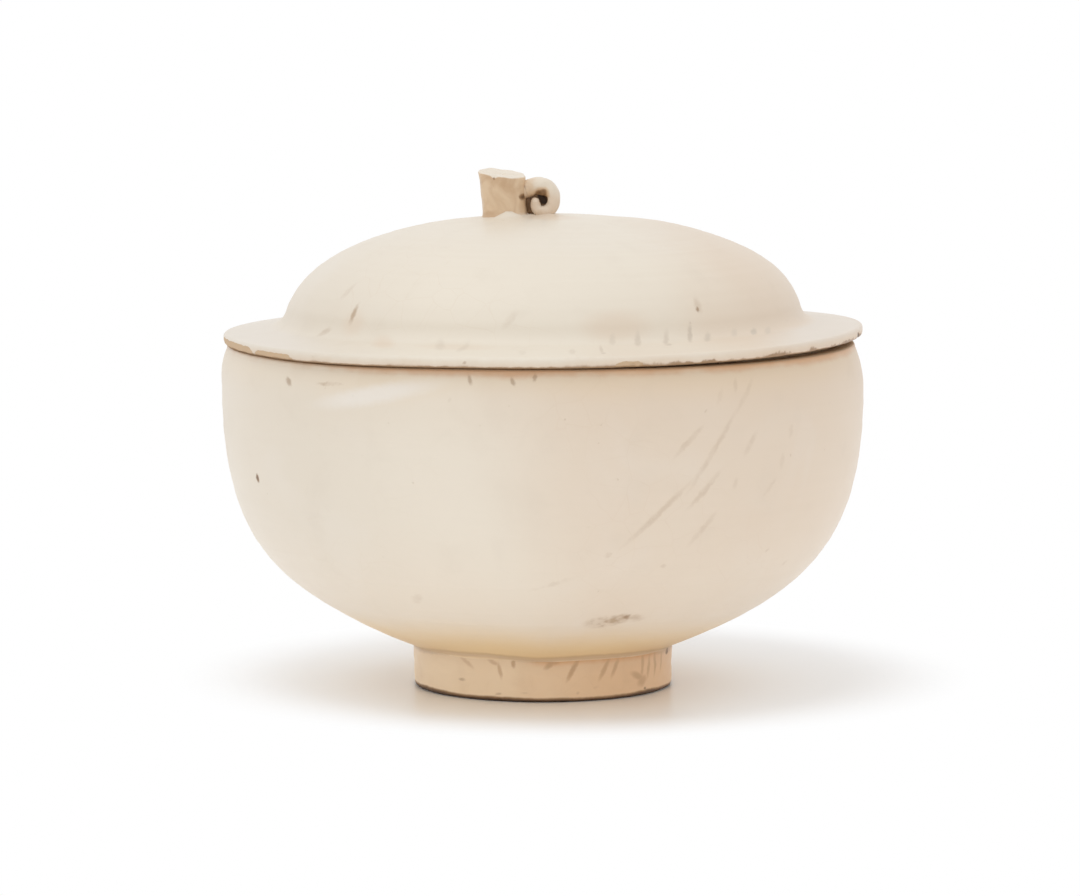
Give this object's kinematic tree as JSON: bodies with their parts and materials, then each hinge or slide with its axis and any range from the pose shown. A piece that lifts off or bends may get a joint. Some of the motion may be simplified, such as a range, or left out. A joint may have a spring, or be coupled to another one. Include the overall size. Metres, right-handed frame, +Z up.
{
  "type": "covered bowl",
  "caption": "Round glazed bowl on a turned foot ring, with a domed, flanged cover that lifts off by a cut-stalk knob with a curling tendril; keeps and serves food.",
  "frame": {"origin": "centre of the face that the foot stands on", "axes": "+Z up along the axis of the bowl and the cover, +X towards the tendril's side of the stalk, -Y towards the front as pictured"},
  "size_m": [0.14, 0.14, 0.1124],
  "materials": {
    "cream_glaze": "aged ivory glaze, soft gloss, fine crackle and stains",
    "foot_glaze": "thin tan glaze, pooled and runny, worn brown at the standing edge",
    "knob_glaze": "ivory glaze stained tan in its hollows",
    "bare_clay": "unglazed fired clay, matt"
  },
  "bodies": {
    "bowl": {"foot_ring": "foot_glaze", "bowl_body": "cream_glaze"},
    "cover": {"cover_shell": "cream_glaze", "locating_collar": "bare_clay", "stalk_knob": "knob_glaze", "tendril_curl": "knob_glaze"}
  },
  "joints": [
    {"name": "cover_lift", "type": "slide", "parent": "bowl", "child": "cover", "axis": [0, 0, 1], "range_m": [0, 0.12]}
  ]
}
